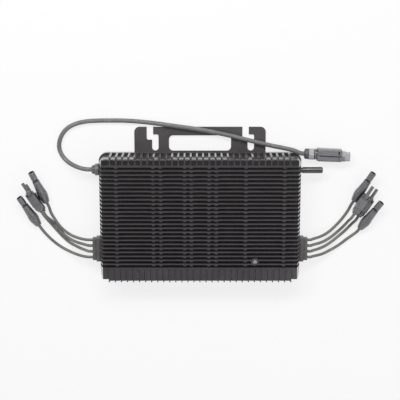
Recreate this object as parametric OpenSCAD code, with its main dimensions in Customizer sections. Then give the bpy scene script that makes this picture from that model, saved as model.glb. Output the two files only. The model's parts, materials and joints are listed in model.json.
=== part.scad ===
// Solar microinverter lying on its back, fins up, with its hanging bracket and all its leads.
// +Z points out of the fins, +Y towards the bracket, and the origin is the middle of the rest face.

/* [Casting] */
// Width over the flange
body_w = 289.4; // [270:0.2:350]
// Height over the flange, without the bracket
body_h = 183.2; // [160:0.2:225]
// Depth from the rest face to the fin fronts
body_d = 42; // [38:0.5:55]
// Radius of the flange corners
corner_r = 12; // [9:0.5:15]
// Wall thickness
wall_t = 3; // [2.5:0.1:3.6]
// Thickness of the floor that carries the fins
fin_floor_t = 3; // [2.5:0.1:4]
// Thickness of the housing's own flange
flange_t = 3.5; // [3:0.1:5]
// How far the flange stands out from the top wall
lip_top = 3.4; // [3:0.1:5]
// How far the flange stands out from the bottom wall
lip_bottom = 3; // [2:0.5:5]
// How far the flange stands out from the side walls
lip_side = 2; // [1:0.5:4]

/* [Fins] */
// Number of fins
fin_count = 26; // [16:1:28]
// Fin thickness
fin_t = 1.9; // [1.4:0.1:2.4]
// Fin height over the fin floor
fin_h = 15; // [12:0.5:16]
// How far each fin end leans in towards its front
fin_lean = 4; // [2:0.5:6]
// From the top edge of the flange to the first fin
top_band = 14; // [13:0.1:18]
// From the bottom edge of the flange to the last fin
bottom_band = 21.5; // [15:0.1:26]
// Width of the ejector pads on the fins
pad_w = 5.8; // [4:0.1:7]
// How far a pad stands out from its fin
pad_t = 1.7; // [0.8:0.1:2]

/* [End ribs] */
// Rib thickness
rib_t = 1.6; // [1.2:0.1:2.4]
// Thickness of the top ribs' feet, on the top wall
rib_foot_t = 2.6; // [1.6:0.1:3]
// Number of ribs along the top
top_rib_count = 30; // [20:1:32]
// From the side of the flange to the first top rib
top_rib_margin = 18.1; // [15:0.1:24]
// Number of ribs along the bottom
bottom_rib_count = 31; // [20:1:33]
// From the side of the flange to the first bottom rib
bottom_rib_margin = 14.7; // [14:0.1:24]
// How far the front of the top band lies behind the fin fronts
band_drop = 0.6; // [0.3:0.1:2]
// Radius between the top wall and its band
band_r = 1.5; // [0.5:0.1:2]
// Depth of the pockets in the top band
pocket_depth = 2; // [1:0.1:4]
// Corner radius of the pockets
pocket_r = 2.4; // [1:0.1:2.6]
// How far the bottom ribs stand over the bottom strip
strip_drop = 0.4; // [0.2:0.1:2]
// Depth of the groove beside each bottom rib
groove_depth = 1.4; // [0.6:0.1:2]
// Width of the groove beside each bottom rib
groove_w = 0.9; // [0.6:0.1:1.4]

/* [Back cover and fasteners] */
// Cover thickness
cover_t = 4.5; // [4.2:0.1:6]
// Width of the gasket
gasket_w = 1.8; // [1.2:0.1:2]
// Height of the gasket
gasket_h = 1.2; // [0.8:0.1:1.6]
// Screw thread diameter
screw_d = 4; // [3:0.5:4]
// Screw head diameter
screw_head_d = 7.6; // [6:0.2:8]
// Screw head height
screw_head_h = 2.1; // [1.6:0.1:2.4]
// Screw length with its head
screw_l = 13; // [11:0.5:15]
// Diameter of the screw bosses
boss_d = 9; // [8:0.5:10]

/* [Bracket] */
// Plate thickness
plate_t = 2.5; // [2:0.1:2.5]
// Plate width
plate_w = 187.5; // [180:0.5:220]
// How far the plate reaches past the flange
plate_reach = 36.3; // [33:0.1:45]
// How far the plate runs down behind the cover
plate_overlap = 54.2; // [50:0.2:70]
// Radius of the plate's top corners
plate_r = 7.5; // [4:0.5:12]
// Width of the hanging slots
slot_w = 9.2; // [8.2:0.2:10.4]
// Sideways step of each hanging slot
slot_step = 7.6; // [6:0.2:9]
// Distance between the seats of the two slots
slot_spacing = 136.4; // [128:0.2:150]
// From the plate's top edge to the bottom of a slot's upper leg
slot_upper_depth = 18.7; // [15:0.1:22]
// From the plate's top edge to the top of a slot's lower leg
slot_lower_start = 10.9; // [8:0.1:13]
// From the plate's top edge to the bottom of a slot's lower leg
slot_depth = 34.3; // [28:0.1:34.5]
// Width of the handle window
window_w = 88.6; // [70:0.2:100]
// From the plate's top edge to the window
window_top = 12.2; // [8:0.1:16]
// Height of the window
window_h = 22.3; // [18:0.1:22.3]
// Radius of the window's corners
window_r = 6; // [3:0.5:9]

/* [Side fittings] */
// Height of the glands' centres over the rest face
port_z = 17; // [16:0.5:18]
// Height of the mains gland above the middle of the casting
ac_gland_y = 69.1; // [55:0.2:70]
// Diameter of the mains gland's collar
ac_collar_d = 17; // [14:0.1:17]
// Thickness of the mains gland's collar
ac_collar_t = 6.8; // [4:0.1:8]
// Diameter of the mains gland's nut
ac_nut_d = 12.6; // [12:0.1:15]
// Length of the mains gland's nut
ac_nut_l = 4.6; // [4.4:0.1:9]
// Height of the aerial above the middle of the casting
aerial_y = 68.1; // [55:0.2:70]
// Diameter of the aerial sleeve
aerial_d = 9.2; // [7:0.1:10]
// Length of the aerial sleeve
aerial_l = 29; // [24:0.5:45]
// Height of the panel glands' middle against the middle of the casting
dc_gland_y = -47.3; // [-60:0.1:-40]
// Length of the panel glands along the side
dc_gland_l = 36; // [35:0.2:40]
// Depth of the panel glands across the side
dc_gland_w = 15; // [13:0.2:16]
// How far the wide part of a panel gland stands out
dc_gland_base_t = 6.5; // [4:0.1:8]
// How far the narrow part of a panel gland stands out
dc_gland_nose_t = 5.5; // [4.5:0.1:8]
// Distance between the leads of a panel gland
lead_pitch = 8.6; // [7:0.1:9]
// Diameter of the indicator lens
lens_d = 6; // [4:0.1:7]
// Diameter of the boss round the lens
lens_boss_d = 11; // [9:0.5:13]

/* [Leads and connectors] */
// Diameter of the mains cable
ac_cable_d = 6.4; // [5.8:0.1:7]
// Diameter of the panel leads
lead_d = 4.2; // [3.5:0.1:4.4]
// Length of the panel connectors with an open barrel
barrel_l = 51.5; // [46:0.5:54]
// Diameter of the open barrel
barrel_d = 9.4; // [8.4:0.1:10]
// Diameter of the open-barrel connector's cap
barrel_cap_d = 14; // [12.6:0.1:15]
// Length of the panel connectors with a slim nose
nose_l = 47.5; // [45:0.5:54]
// Diameter of the slim nose
nose_d = 4.8; // [4.2:0.1:5.6]
// Width of the slim-nose connector
nose_body_w = 12.2; // [11:0.1:13]
// Length of the mains connector
ac_plug_l = 65; // [60:0.5:75]
// Width of the mains connector's body
ac_plug_w = 18.4; // [17:0.1:21]
// Height of the mains connector's body
ac_plug_h = 17.6; // [16:0.1:20]

/* [Hidden] */
$fn = 48;
// Fit clearance between a piece and the hole that it sits in
fit = 0.1;
// Overlap of a cutting shape with the air round it
cut = 1;

CASTING = [0.27, 0.27, 0.28];
STEEL = [0.3, 0.3, 0.31];
BLACK = [0.1, 0.1, 0.1];
GREY = [0.42, 0.42, 0.43];
PALE_GREY = [0.6, 0.6, 0.61];
METAL = [0.75, 0.75, 0.76];
COPPER = [0.72, 0.42, 0.22];
GREEN = [0.1, 0.35, 0.2];
AMBER = [0.8, 0.62, 0.3];

wall_x = body_w / 2 - lip_side;
wall_top = body_h / 2 - lip_top;
wall_bottom = -body_h / 2 + lip_bottom;
wall_mid_y = (wall_top + wall_bottom) / 2;
wall_h = wall_top - wall_bottom;
wall_r = corner_r - 3;
flange_front = cover_t + flange_t;
valley_z = body_d - fin_h;
cavity_top = valley_z - fin_floor_t;
cavity_x = wall_x - wall_t;
cavity_h = wall_h - 2 * wall_t;
fin_first_y = body_h / 2 - top_band;
fin_last_y = -body_h / 2 + bottom_band;
fin_pitch = (fin_first_y - fin_last_y) / (fin_count - 1);
band_z = body_d - band_drop;
// Places of the ejector pads along every fin
pad_places = [-118, -66, -55.5, -21.7, -12.3, 12.6, 22.9, 64.5, 119];

top_rib_pitch = (body_w - 2 * top_rib_margin) / (top_rib_count - 1);
bottom_rib_pitch = (body_w - 2 * bottom_rib_margin) / (bottom_rib_count - 1);

// Bosses sit a little into the walls, so that each is cast in one with them
boss_inset = boss_d / 2 - 0.5;
boss_x = cavity_x - boss_inset;
boss_top_y = wall_top - wall_t - boss_inset;
boss_bottom_y = wall_bottom + wall_t + boss_inset;
bracket_screw_x = 67.5;
bracket_screw_down = 45.6;
bracket_screw_low_y = body_h / 2 - bracket_screw_down;
cover_screws_at = [
    [-boss_x, boss_top_y], [boss_x, boss_top_y], [-boss_x, 0], [boss_x, 0],
    [-boss_x, boss_bottom_y], [boss_x, boss_bottom_y], [-boss_x + 25, boss_top_y],
    [boss_x - 25, boss_top_y], [-45, boss_bottom_y], [45, boss_bottom_y]
];
bracket_screws_at = [
    [-bracket_screw_x, boss_top_y], [bracket_screw_x, boss_top_y],
    [-bracket_screw_x, bracket_screw_low_y], [bracket_screw_x, bracket_screw_low_y]
];

plate_top = body_h / 2 + plate_reach;
plate_bottom = body_h / 2 - plate_overlap;

// Place of the indicator lens, near the bottom right corner
lens_x = 78.3;
lens_up = 31;
lens_y = -body_h / 2 + lens_up;

board_t = 1.6;
board_stand = 3;
board_z = cover_t + board_stand;
board_top = board_z + board_t;
board_gap = 1.5;
part_gap = 1.5;
part_h = cavity_top - board_top - part_gap;
transformer_w = 34;
transformer_h = 30;
transformer_y = 14;
transformer_places = [-96, -32, 32, 96];
leg_t = 6;
pedestal_y = -22;
pedestal_w = 14;
transistor_t = 2.4;
pad_sheet_t = 1;
transistor_w = 10;
transistor_places = [for (i = [-4:4]) i * 26];
capacitor_d = 12.5;
capacitor_places = [for (side = [-1, 1]) for (i = [0:3]) side * (62 + i * 17)];
capacitor_y = -56;

pedestal_z = board_top + transistor_t + pad_sheet_t;
pedestal_inset = 20;
pedestal_l = 2 * (cavity_x - pedestal_inset);

gasket_x = wall_x - wall_t / 2;
gasket_half_h = wall_h / 2 - wall_t / 2;
gasket_r = wall_r - wall_t / 2;

// The two slots step the same way, so their seats are a little right of the middle
slot_centre = 4.4;

// The lens starts a little inside the potting, and its flat rim lies behind the fin fronts
lens_root = 1.2;
lens_flat_z = body_d - 0.8;

// Parts of the side fittings that pass through the wall, and the bores round the cables
ac_shank_d = 11;
ac_spigot_d = 10;
ac_spigot_l = ac_nut_l - 2;
aerial_shank_d = 6;
aerial_neck_l = 3;
aerial_core_l = 8;
aerial_core_d = 4;
dc_shank_l = 31;
dc_shank_w = 9;
ac_bore_d = ac_cable_d + 2 * fit;
lead_bore_d = lead_d + 2 * fit;

// Panel connectors, measured along their axis from the cable end
spigot_d = 8;
spigot_l = 5;
contact_core_d = 2.4;
barrel_cap_l = 19;
barrel_groove_s = barrel_l - 12.6;
barrel_bore_l = 13;
barrel_mouth_l = 5;
socket_d = 6.4;
socket_depth = 7;
nose_cap_l = 10;
nose_body_l = 17;
nose_body_h = 12;
nose_collar_l = 7;
nose_collar_r = 4.2;
nose_tip_r = 1.2;
pin_recess = 2;

// Mains connector, measured along its axis from the cable end
ac_seal_l = 5.6;
ac_plug_nut_l = 8.4;
ac_collar_l = 4.4;
ac_insert_l = 12.5;
ac_body_start = ac_seal_l + ac_plug_nut_l;
ac_body_end = ac_plug_l - ac_insert_l;
ac_nut_r = 8;
ac_core_d = 10.6;
ac_insert_root_l = 8;
ac_insert_root_d = 12;
ac_contact_d = 3.4;

// How far a lead runs into the gland and the connector that hold it
lead_grip = 4;
lead_exit_x = wall_x + dc_gland_base_t + dc_gland_nose_t;
lead_start_x = lead_exit_x - lead_grip;
ac_exit_x = wall_x + ac_collar_t + ac_nut_l;

// Route of the mains cable, from its gland on the left round the bracket to its connector on the right
ac_route = [
    [-ac_exit_x + lead_grip, ac_gland_y, port_z], [-ac_exit_x - lead_grip, ac_gland_y, port_z],
    [-166, 69.9, 16.1], [-172.5, 71.3, 14.2], [-179, 73.4, 11.6], [-185.6, 76.5, 8.6],
    [-191.3, 80.4, 6], [-196, 85.4, 4.3], [-199.2, 91, 3.4], [-201, 97.4, 3.3], [-201, 104, 3.3],
    [-199.2, 111.4, 3.3], [-194.8, 119.6, 3.3], [-187.4, 127, 3.3], [-176.8, 132.4, 3.3],
    [-162.3, 135.8, 3.3], [-147.9, 136.9, 3.3], [-129.7, 137.2, 3.3], [-106.6, 137, 3.3],
    [-85.1, 135.6, 3.5], [-64, 133.4, 4.2], [-36.7, 129.8, 5.6], [3.1, 124, 6.2], [43.1, 115.9, 6.3],
    [73.2, 108.4, 6.4], [103.1, 101.5, 7.4], [112, 99.9, 8.3], [120.9, 98.2, 9.3],
    [128.6, 96.7, 10.2], [134.6, 95, 10.5], [143, 91.3, 9.1], [147.6, 90.45, 8.6], [152.6, 90.2, 8.6]
];

// Routes of the panel leads from the middle of their gland's face: outwards, along the side, and height
left_leads = [
    [[11, 12.9, 15.4], [23.1, 14.6, 10.5], [34, 18.3, 6.6], [42.5, 24.9, 7], [50.1, 33.3, 7],
     [56.1, 42.2, 5.4], [60.4, 49.2, 4.2], [64.7, 61.3, 3.5], [68.1, 69.4, 5.6]],
    [[12.8, 5.7, 15.2], [25.2, 8, 9.8], [34.8, 11.8, 6], [41.9, 17, 5.2], [47.7, 23.8, 4.8],
     [52.8, 30.5, 3], [59.2, 37.1, 3], [68.9, 47.1, 6.2], [73.5, 54.8, 6.2]],
    [[12.3, -2.6, 14.6], [24.6, 1.1, 8.6], [35.3, 5.6, 3.2], [44.2, 13.3, 2.2], [52.1, 22.3, 2.4],
     [58.6, 31.6, 6], [64.1, 40.6, 12.2], [70.7, 52.2, 18.4], [75.5, 59.8, 18.4]],
    [[12.1, -12.6, 15.2], [24.8, -10.7, 9.6], [37.2, -6.7, 4.6], [48.5, -0.9, 2.4], [58.7, 7.1, 2.4],
     [66.9, 15.5, 3], [76.6, 27.8, 3.5], [81, 35.4, 5.6]]
];
right_leads = [
    [[8.6, 13.8, 15.2], [20.3, 16.3, 10], [31.2, 21.1, 5], [42.4, 30.7, 2.6], [52.1, 42.1, 2.6],
     [59.3, 52.9, 2.9], [64.8, 63.6, 3.5], [69.2, 71.2, 5.6]],
    [[8.8, 5.1, 15.2], [21.7, 7.4, 9.8], [33.7, 12.7, 5], [45, 21.6, 3.4], [53.6, 31.3, 6.6],
     [59.5, 40.5, 13], [63.8, 47.9, 19.6], [68.6, 55.4, 19.6]],
    [[9, -3.4, 15.2], [21.9, -0.6, 9.6], [34.6, 5.4, 4.6], [46.2, 14.2, 2.4], [57, 24.1, 2.6],
     [65.5, 33.8, 4.2], [71.7, 41.1, 6.2], [76.6, 48.7, 6.2]],
    [[9.1, -12.2, 15.2], [22.2, -10.4, 9.8], [35.4, -5.5, 4.6], [48.6, 2.1, 2.4], [60, 11.1, 2.4],
     [68.4, 17.4, 2.7], [74.4, 22.7, 3.5], [79.3, 29.9, 5.6]]
];
function lead_y(i) = dc_gland_y + (2.5 - i) * lead_pitch;
function lead_route(side, leads, i) = concat(
    [[side * lead_start_x, lead_y(i), port_z], [side * (lead_exit_x + lead_grip), lead_y(i), port_z]],
    [for (p = leads[i - 1]) [side * (lead_exit_x + p[0]), dc_gland_y + p[1], p[2]]]
);
left_routes = [for (i = [1:4]) lead_route(-1, left_leads, i)];
right_routes = [for (i = [1:4]) lead_route(1, right_leads, i)];

// Shapes used by several pieces

module rounded_outline(w, h, r) {
    square([w - 2 * r, h], center = true);
    square([w, h - 2 * r], center = true);
    for (x = [-1, 1], y = [-1, 1])
        translate([x * (w / 2 - r), y * (h / 2 - r)])
            circle(r);
}

module rounded_plate(w, h, r, z0, z1) {
    translate([0, 0, z0])
        linear_extrude(z1 - z0)
            rounded_outline(w, h, r);
}

// A bar of the given outline in Y and Z, of thickness t about x
module slice(x, t, outline) {
    translate([x - t / 2, 0, 0])
        rotate([90, 0, 90])
            linear_extrude(t)
                polygon(outline);
}

// Points of a quarter arc from angle a0 to a1 about the point c
function arc(c, r, a0, a1, steps = 5) =
    [for (i = [0:steps]) let (a = a0 + (a1 - a0) * i / steps) c + r * [cos(a), sin(a)]];

// Casting

function fin_y(i) = fin_first_y - i * fin_pitch;
function top_rib_x(i) = -body_w / 2 + top_rib_margin + i * top_rib_pitch;
function bottom_rib_x(i) = -body_w / 2 + bottom_rib_margin + i * bottom_rib_pitch;

// Upper edge of a valley, from right to left, with the pads of the fin above hanging into it
function padded_edge(y, half) = concat(
    [[half, y]],
    [for (k = [len(pad_places) - 1:-1:0]) each [
        [pad_places[k] + pad_w / 2, y], [pad_places[k] + pad_w / 4, y - pad_t],
        [pad_places[k] - pad_w / 4, y - pad_t], [pad_places[k] - pad_w / 2, y]
    ]],
    [[-half, y]]
);

module valley(i) {
    half = body_w / 2 + cut;
    top = fin_y(i) - fin_t / 2;
    bottom = fin_y(i + 1) + fin_t / 2;
    translate([0, 0, valley_z])
        linear_extrude(fin_h + cut)
            polygon(concat([[-half, bottom], [half, bottom]], padded_edge(top, half)));
}

// Slopes the fin ends on one side
module side_lean(side) {
    top_x = wall_x - fin_lean;
    translate([0, body_h, 0])
        rotate([90, 0, 0])
            linear_extrude(2 * body_h)
                polygon([
                    [side * wall_x, valley_z], [side * top_x, body_d], [side * top_x, body_d + cut],
                    [side * body_w, body_d + cut], [side * body_w, valley_z]
                ]);
}

// Drops the band above the first fin and rounds it into the top wall
module band_cut() {
    y0 = fin_first_y + fin_t / 2;
    y_arc = wall_top - band_r;
    difference() {
        translate([-body_w, y0, band_z - band_r])
            cube([2 * body_w, 40, band_r + band_drop + cut]);
        translate([-body_w, y0 - cut, band_z - band_r - cut])
            cube([2 * body_w, y_arc - y0 + cut, band_r + cut]);
        translate([-body_w, y_arc, band_z - band_r])
            rotate([0, 90, 0])
                cylinder(h = 2 * body_w, r = band_r);
    }
}

// Sinks the strip below the last fin under its ribs, with a groove on the outer side of each rib
module strip_cut() {
    front = fin_last_y - fin_t / 2;
    translate([-body_w, -body_h, body_d - strip_drop])
        cube([2 * body_w, body_h + front, strip_drop + cut]);
    for (i = [0:bottom_rib_count - 1]) {
        x = bottom_rib_x(i);
        side = x < 0 ? -1 : 1;
        x0 = x + side * (rib_t + groove_w) / 2 - groove_w / 2;
        translate([x0, -body_h, body_d - strip_drop - groove_depth])
            cube([groove_w, body_h + front, groove_depth + cut]);
    }
}

// The ends of the strip, outside its last ribs, lie further back
module corner_cut(side) {
    setback = 2.4;
    depth = 16;
    x = bottom_rib_x(0) - rib_t / 2;
    translate([side > 0 ? -x : -body_w, wall_bottom - cut, body_d - depth])
        cube([body_w + x, setback + cut, depth + cut]);
}

// Pocket in the top band between x0 and x1
module band_pocket(x0, x1, r) {
    rim = 1.4;
    y0 = fin_first_y + fin_t / 2 + rim / 2;
    y1 = wall_top - rim;
    r_max = (y1 - y0) / 2 - fit;
    translate([(x0 + x1) / 2, (y0 + y1) / 2, band_z - pocket_depth])
        linear_extrude(pocket_depth + cut)
            rounded_outline(x1 - x0, y1 - y0, min(r, r_max), $fn = 24);
}

module band_pockets() {
    corner_inset = 4.5;
    for (i = [0:top_rib_count - 2])
        band_pocket(top_rib_x(i) + rib_t / 2, top_rib_x(i + 1) - rib_t / 2, pocket_r);
    band_pocket(-wall_x + corner_inset, top_rib_x(0) - rib_t / 2, 2 * pocket_r);
    band_pocket(-top_rib_x(0) + rib_t / 2, wall_x - corner_inset, 2 * pocket_r);
}

// Rib up the top wall and over the band, with a thicker foot on the wall
module top_rib(x) {
    edge = body_h / 2;
    nose_r = 1.4;
    foot_drop = 4;
    slice(x, rib_t, concat(
        [[fin_first_y, valley_z - 1], [wall_top - 1, flange_front - 1], [edge, flange_front - 1]],
        arc([edge - nose_r, body_d - nose_r], nose_r, 0, 90, 3),
        [[fin_first_y, body_d]]
    ));
    slice(x, rib_foot_t, [
        [wall_top - 1, flange_front - 1], [edge, flange_front - 1],
        [edge, body_d - foot_drop], [edge - 1, body_d - foot_drop + 1], [wall_top - 1, body_d - foot_drop + 1]
    ]);
}

module bottom_rib(x) {
    edge = -body_h / 2;
    nose_r = 3;
    slice(x, rib_t, concat(
        [[fin_last_y, valley_z], [fin_last_y, body_d]],
        arc([edge + nose_r, body_d - nose_r], nose_r, 90, 180, 3),
        [[edge, flange_front - 1], [wall_bottom + 1, flange_front - 1], [wall_bottom + 1, valley_z]]
    ));
}

module boss_columns(places) {
    for (p = places)
        translate([p[0], p[1]])
            circle(d = boss_d);
}

// Outline of the space inside the casting
module cavity_outline() {
    difference() {
        translate([0, wall_mid_y])
            rounded_outline(2 * cavity_x, cavity_h, wall_r - wall_t);
        boss_columns(concat(cover_screws_at, bracket_screws_at));
    }
}

module pedestal() {
    translate([-pedestal_l / 2, pedestal_y - pedestal_w / 2, pedestal_z])
        cube([pedestal_l, pedestal_w, cavity_top - pedestal_z + cut]);
}

module port_holes() {
    translate([-wall_x - cut, ac_gland_y, port_z])
        rotate([0, 90, 0])
            cylinder(h = wall_t + 2 * cut, d = ac_shank_d + 2 * fit);
    translate([cavity_x - cut, aerial_y, port_z])
        rotate([0, 90, 0])
            cylinder(h = wall_t + 2 * cut, d = aerial_shank_d + 2 * fit);
    for (side = [-1, 1])
        translate([side * (wall_x - wall_t / 2), dc_gland_y, port_z])
            cube([wall_t + 2 * cut, dc_shank_l + 2 * fit, dc_shank_w + 2 * fit], center = true);
}

module heatsink_housing() {
    color(CASTING)
        difference() {
            union() {
                difference() {
                    translate([0, wall_mid_y, 0])
                        rounded_plate(2 * wall_x, wall_h, wall_r, cover_t, body_d);
                    side_lean(-1);
                    side_lean(1);
                    band_cut();
                    band_pockets();
                    strip_cut();
                    corner_cut(-1);
                    corner_cut(1);
                    for (i = [0:fin_count - 2])
                        valley(i);
                }
                rounded_plate(body_w, body_h, corner_r, cover_t, flange_front);
                for (i = [0:top_rib_count - 1])
                    top_rib(top_rib_x(i));
                for (i = [0:bottom_rib_count - 1])
                    bottom_rib(bottom_rib_x(i));
                translate([lens_x, lens_y, valley_z - 1])
                    cylinder(h = fin_h + 1, d = lens_boss_d);
            }
            difference() {
                translate([0, 0, cover_t - cut])
                    linear_extrude(cavity_top - cover_t + cut)
                        cavity_outline();
                pedestal();
            }
            for (p = concat(cover_screws_at, bracket_screws_at))
                translate([p[0], p[1], cover_t - cut])
                    cylinder(h = screw_l - cover_t + cut + 1, d = screw_d + fit);
            translate([lens_x, lens_y, cavity_top - cut])
                cylinder(h = fin_h + fin_floor_t + 2 * cut, d = lens_d + 2 * fit);
            port_holes();
        }
}

// Back cover and fasteners

module gasket_ring(w, z0, z1) {
    translate([0, wall_mid_y, z0])
        linear_extrude(z1 - z0)
            difference() {
                rounded_outline(2 * gasket_x + w, 2 * gasket_half_h + w, gasket_r + w / 2);
                rounded_outline(2 * gasket_x - w, 2 * gasket_half_h - w, gasket_r - w / 2);
            }
}

module screw_hole(p, z0) {
    translate([p[0], p[1], z0]) {
        cylinder(h = screw_head_h, d1 = screw_head_d + 2 * fit, d2 = screw_d + 2 * fit);
        cylinder(h = cover_t + cut, d = screw_d + 2 * fit);
        translate([0, 0, -cut])
            cylinder(h = cut, d = screw_head_d + 2 * fit);
    }
}

module back_cover() {
    color(CASTING)
        difference() {
            rounded_plate(body_w, body_h, corner_r, 0, cover_t);
            translate([-plate_w / 2 - fit, plate_bottom - fit, -cut])
                cube([plate_w + 2 * fit, plate_overlap + cut + fit, plate_t + cut]);
            gasket_ring(gasket_w, cover_t - gasket_h, cover_t + cut);
            for (p = cover_screws_at)
                screw_hole(p, 0);
            for (p = bracket_screws_at)
                translate([p[0], p[1], 0])
                    cylinder(h = cover_t + cut, d = screw_d + 2 * fit);
        }
}

module cover_gasket() {
    color(BLACK)
        gasket_ring(gasket_w, cover_t - gasket_h, cover_t);
}

// Countersunk screw with a crossed recess, its head at the rest face
module screw(p) {
    recess_l = screw_head_d * 0.55;
    recess_w = 1;
    recess_depth = screw_head_h * 0.6;
    translate([p[0], p[1], 0])
        difference() {
            union() {
                cylinder(h = screw_head_h, d1 = screw_head_d, d2 = screw_d);
                cylinder(h = screw_l, d = screw_d);
            }
            translate([-recess_l / 2, -recess_w / 2, -cut])
                cube([recess_l, recess_w, recess_depth + cut]);
            translate([-recess_w / 2, -recess_l / 2, -cut])
                cube([recess_w, recess_l, recess_depth + cut]);
        }
}

module cover_screws() {
    color(METAL)
        for (p = cover_screws_at)
            screw(p);
}

module bracket_screws() {
    color(METAL)
        for (p = bracket_screws_at)
            screw(p);
}

// Outline of one hanging slot, its seat at the origin's X and its legs below the plate's top edge
module slot_outline() {
    upper_x = -slot_step;
    seat_y = -slot_depth + slot_w / 2;
    translate([upper_x - slot_w / 2, -slot_upper_depth + slot_w / 4])
        square([slot_w, slot_upper_depth + cut]);
    translate([upper_x - slot_w / 4, -slot_upper_depth])
        square([slot_w * 3 / 4, slot_w]);
    translate([upper_x - slot_w / 4, -slot_upper_depth + slot_w / 4])
        circle(slot_w / 4);
    translate([-slot_w / 2, seat_y])
        square([slot_w, -slot_lower_start - slot_w / 4 - seat_y]);
    translate([-slot_w / 2, -slot_lower_start - slot_w / 2])
        square([slot_w * 3 / 4, slot_w / 2]);
    translate([slot_w / 4, -slot_lower_start - slot_w / 4])
        circle(slot_w / 4);
    translate([0, seat_y])
        circle(slot_w / 2);
}

module mounting_bracket() {
    color(STEEL)
        difference() {
            linear_extrude(plate_t)
                difference() {
                    union() {
                        translate([-plate_w / 2, plate_bottom])
                            square([plate_w, plate_top - plate_bottom - plate_r]);
                        translate([-plate_w / 2 + plate_r, plate_bottom])
                            square([plate_w - 2 * plate_r, plate_top - plate_bottom]);
                        for (side = [-1, 1])
                            translate([side * (plate_w / 2 - plate_r), plate_top - plate_r])
                                circle(plate_r);
                    }
                    for (side = [-1, 1])
                        translate([slot_centre + side * slot_spacing / 2, plate_top])
                            slot_outline();
                    translate([0, plate_top - window_top - window_h / 2])
                        rounded_outline(window_w, window_h, window_r);
                }
            for (p = bracket_screws_at)
                screw_hole(p, 0);
        }
}

// Electronics

module circuit_board() {
    color(GREEN)
        difference() {
            translate([0, wall_mid_y, 0])
                rounded_plate(2 * (cavity_x - board_gap), cavity_h - 2 * board_gap, 4, board_z, board_top);
            for (p = concat(cover_screws_at, bracket_screws_at))
                translate([p[0], p[1], board_z - cut])
                    cylinder(h = board_t + 2 * cut, d = boss_d + 2 * board_gap);
        }
}

// Two ferrite halves glued into one core: outer legs, yokes and a round middle leg
module transformer_core(i) {
    color(GREY)
        translate([transformer_places[i - 1], transformer_y, board_top])
            difference() {
                translate([-transformer_w / 2, -transformer_h / 2, 0])
                    cube([transformer_w, transformer_h, part_h]);
                difference() {
                    translate([-transformer_w / 2 + leg_t, -transformer_h / 2 - cut, leg_t / 2])
                        cube([transformer_w - 2 * leg_t, transformer_h + 2 * cut, part_h - leg_t]);
                    cylinder(h = part_h, d = 2 * leg_t);
                }
            }
}

module transformer_windings() {
    color(COPPER)
        for (x = transformer_places)
            translate([x, transformer_y, board_top + leg_t / 2 + fit])
                difference() {
                    cylinder(h = part_h - leg_t - 2 * fit, d = transformer_w - 2 * leg_t - 2 * fit);
                    translate([0, 0, -cut])
                        cylinder(h = part_h, d = 2 * leg_t + 2 * fit);
                }
}

module input_capacitors() {
    color(PALE_GREY)
        for (x = capacitor_places)
            translate([x, capacitor_y, board_top])
                difference() {
                    cylinder(h = part_h, d = capacitor_d);
                    translate([0, 0, 1.4])
                        rotate_extrude()
                            translate([capacitor_d / 2 + 0.3, 0])
                                circle(0.8);
                }
}

module output_capacitor() {
    color(AMBER)
        translate([-100, 54, board_top])
            cube([26, 12, part_h]);
}

module line_choke() {
    color(COPPER)
        translate([-46, 58, board_top])
            difference() {
                cylinder(h = part_h, d = 24);
                translate([0, 0, -cut])
                    cylinder(h = part_h + 2 * cut, d = 10);
            }
}

module grid_relay() {
    color(BLACK)
        translate([-20, 52, board_top])
            cube([29, 13, part_h]);
}

module power_transistors() {
    color(BLACK)
        for (x = transistor_places)
            translate([x - transistor_w / 2, pedestal_y - transistor_w / 2, board_top])
                cube([transistor_w, transistor_w, transistor_t]);
}

module thermal_pad() {
    color(PALE_GREY)
        translate([-pedestal_l / 2, pedestal_y - pedestal_w / 2, pedestal_z - pad_sheet_t])
            cube([pedestal_l, pedestal_w, pad_sheet_t]);
}

module radio_module() {
    color(METAL)
        translate([100, 52, board_top])
            union() {
                cube([26, 18, 1]);
                translate([2, 1.5, 0])
                    cube([15, 15, 3.2]);
            }
}

module potting_compound() {
    color(BLACK)
        difference() {
            translate([0, 0, cover_t])
                linear_extrude(cavity_top - cover_t)
                    cavity_outline();
            pedestal();
            circuit_board();
            for (i = [1:4])
                transformer_core(i);
            transformer_windings();
            input_capacitors();
            output_capacitor();
            line_choke();
            grid_relay();
            power_transistors();
            thermal_pad();
            radio_module();
            translate([lens_x, lens_y, cavity_top - lens_root])
                cylinder(h = lens_root + cut, d = lens_d);
            ac_gland_body();
            aerial_socket();
            dc_gland(-1);
            dc_gland(1);
        }
}

// Light pipe that carries the indicator's light to the front
module indicator_lens() {
    dome_h = 0.9;
    dome_r = (pow(lens_d / 2, 2) + pow(dome_h, 2)) / (2 * dome_h);
    color(METAL)
        translate([lens_x, lens_y, 0])
            intersection() {
                translate([0, 0, cavity_top - lens_root])
                    cylinder(h = lens_flat_z + dome_h - cavity_top + lens_root, d = lens_d);
                union() {
                    translate([0, 0, lens_flat_z + dome_h - dome_r])
                        sphere(r = dome_r);
                    translate([0, 0, cavity_top - lens_root - cut])
                        cylinder(h = lens_flat_z - cavity_top + lens_root + cut, d = lens_d + 2);
                }
            }
}

// Side fittings

// Turns a shape that points along +Z to point away from the casting on the given side
module outward(side, y) {
    translate([side * wall_x, y, port_z])
        rotate([0, side * 90, 0])
            children();
}

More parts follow.
